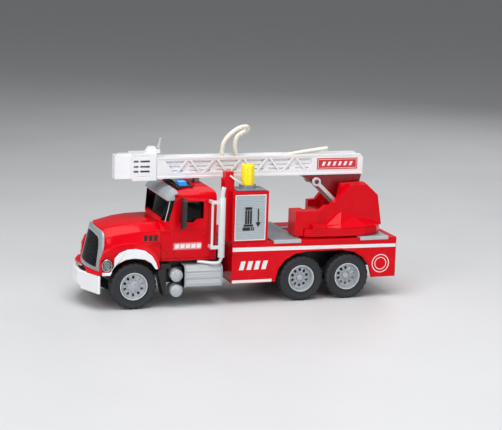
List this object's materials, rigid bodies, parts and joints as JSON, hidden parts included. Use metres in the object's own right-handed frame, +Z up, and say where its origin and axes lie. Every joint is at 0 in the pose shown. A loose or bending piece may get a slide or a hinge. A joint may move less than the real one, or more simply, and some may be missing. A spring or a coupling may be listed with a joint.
{
  "type": "toy ladder fire engine",
  "caption": "Plastic toy fire engine with a bonneted cab, turning turret, rising telescopic ladder, press-down water pump, loose hose and rolling wheels.",
  "frame": {"origin": "middle of the bounding box, at the floor the tyres stand on", "axes": "+X to the rear of the truck, +Y to its right side, +Z up"},
  "size_m": [0.318, 0.1062, 0.1704],
  "materials": {
    "red_plastic": "gloss",
    "dark_red_plastic": "gloss",
    "white_plastic": "gloss",
    "ladder_plastic": "satin",
    "black_plastic": "satin",
    "module_plastic": "matt",
    "window_plastic": "gloss",
    "silver_plastic": "satin silver",
    "stack_plastic": "satin silver",
    "grey_plastic": "satin silver",
    "nozzle_plastic": "satin",
    "dark_grey_plastic": "satin",
    "clear_lens": "gloss",
    "smoke_plastic": "gloss",
    "blue_lens": "gloss",
    "yellow_plastic": "gloss",
    "tank_plastic": "satin",
    "steel": "bright",
    "hose_vinyl": "satin",
    "tyre_rubber": "matt",
    "rim_plastic": "satin silver"
  },
  "bodies": {
    "truck": {"hood": "red_plastic", "cab_shell": "red_plastic", "rear_body": "red_plastic", "pump_housing": "red_plastic", "front_bumper": "white_plastic", "fender_trim_left": "white_plastic", "fender_trim_right": "white_plastic", "chassis_frame": "black_plastic", "grille_mesh": "black_plastic", "lightbar_base": "black_plastic", "battery_cover": "black_plastic", "sound_module": "module_plastic", "window_insert": "window_plastic", "grille_surround": "silver_plastic", "sun_visor": "silver_plastic", "shutter_panel": "silver_plastic", "exhaust_stack_left": "stack_plastic", "exhaust_stack_right": "stack_plastic", "side_tanks_left": "grey_plastic", "side_tanks_right": "grey_plastic", "deck_plates": "grey_plastic", "pump_collar": "grey_plastic", "mirror_left": "dark_grey_plastic", "mirror_right": "dark_grey_plastic", "headlight_left": "clear_lens", "headlight_right": "clear_lens", "ladder_rest": "smoke_plastic", "blue_lenses": "blue_lens", "water_tank": "tank_plastic", "pump_cylinder": "tank_plastic", "pump_spring": "steel", "pump_line": "hose_vinyl"},
    "front_wheels": {"front_axle": "steel", "front_tyre_left": "tyre_rubber", "front_rim_left": "rim_plastic", "front_tyre_right": "tyre_rubber", "front_rim_right": "rim_plastic"},
    "middle_wheels": {"middle_axle": "steel", "middle_tyre_left": "tyre_rubber", "middle_rim_left": "rim_plastic", "middle_tyre_right": "tyre_rubber", "middle_rim_right": "rim_plastic"},
    "rear_wheels": {"rear_axle": "steel", "rear_tyre_left": "tyre_rubber", "rear_rim_left": "rim_plastic", "rear_tyre_right": "tyre_rubber", "rear_rim_right": "rim_plastic"},
    "light_button": {"light_button": "yellow_plastic"},
    "pump_plunger": {"pump_plunger": "yellow_plastic"},
    "turret": {"turret_base": "red_plastic", "turret_shell_left": "red_plastic", "turret_shell_right": "red_plastic", "boom_pin": "steel"},
    "boom": {"boom_arm": "dark_red_plastic", "ladder_base": "ladder_plastic", "water_hose": "hose_vinyl"},
    "ladder_middle": {"ladder_middle": "ladder_plastic"},
    "ladder_tip": {"ladder_tip": "white_plastic"},
    "nozzle": {"water_nozzle": "nozzle_plastic"},
    "ram": {"ram_yoke": "nozzle_plastic"}
  },
  "joints": [
    {"name": "front_wheels_roll", "type": "hinge", "parent": "truck", "child": "front_wheels", "pos_m": [-0.111, 0, 0.0225], "axis": [0, 1, 0], "continuous": true},
    {"name": "middle_wheels_roll", "type": "hinge", "parent": "truck", "child": "middle_wheels", "pos_m": [0.0588, 0, 0.0225], "axis": [0, 1, 0], "continuous": true},
    {"name": "rear_wheels_roll", "type": "hinge", "parent": "truck", "child": "rear_wheels", "pos_m": [0.1076, 0, 0.0225], "axis": [0, 1, 0], "continuous": true},
    {"name": "light_button_press", "type": "slide", "parent": "truck", "child": "light_button", "axis": [0, 0, -1], "range_m": [0, 0.001], "stiffness_N_per_m": 800, "springref_m": -0.0005},
    {"name": "pump_press", "type": "slide", "parent": "truck", "child": "pump_plunger", "axis": [0, 0, -1], "range_m": [0, 0.016], "stiffness_N_per_m": 150, "springref_m": -0.003, "deforming": ["pump_spring"]},
    {"name": "turret_swivel", "type": "hinge", "parent": "truck", "child": "turret", "pos_m": [0.103, 0, 0.0628], "axis": [0, 0, 1], "range_deg": [-330, 0]},
    {"name": "boom_elevation", "type": "hinge", "parent": "turret", "child": "boom", "pos_m": [0.125, 0, 0.104], "axis": [0, 1, 0], "range_deg": [0, 60]},
    {"name": "ladder_middle_slide", "type": "slide", "parent": "boom", "child": "ladder_middle", "axis": [-1, 0, 0], "range_m": [0, 0.1]},
    {"name": "ladder_tip_slide", "type": "slide", "parent": "ladder_middle", "child": "ladder_tip", "axis": [-1, 0, 0], "range_m": [0, 0.095]},
    {"name": "nozzle_tilt", "type": "hinge", "parent": "ladder_tip", "child": "nozzle", "pos_m": [-0.0779, 0, 0.1459], "axis": [0, 1, 0], "range_deg": [-18, 60]},
    {"name": "ram_pivot", "type": "hinge", "parent": "boom", "child": "ram", "pos_m": [0.0835, 0, 0.1131], "axis": [0, 1, 0], "range_deg": [-6, 1]}
  ],
  "couplings": [
    {"joint": "ram_pivot", "follows": "boom_elevation", "ratio": -0.078}
  ]
}
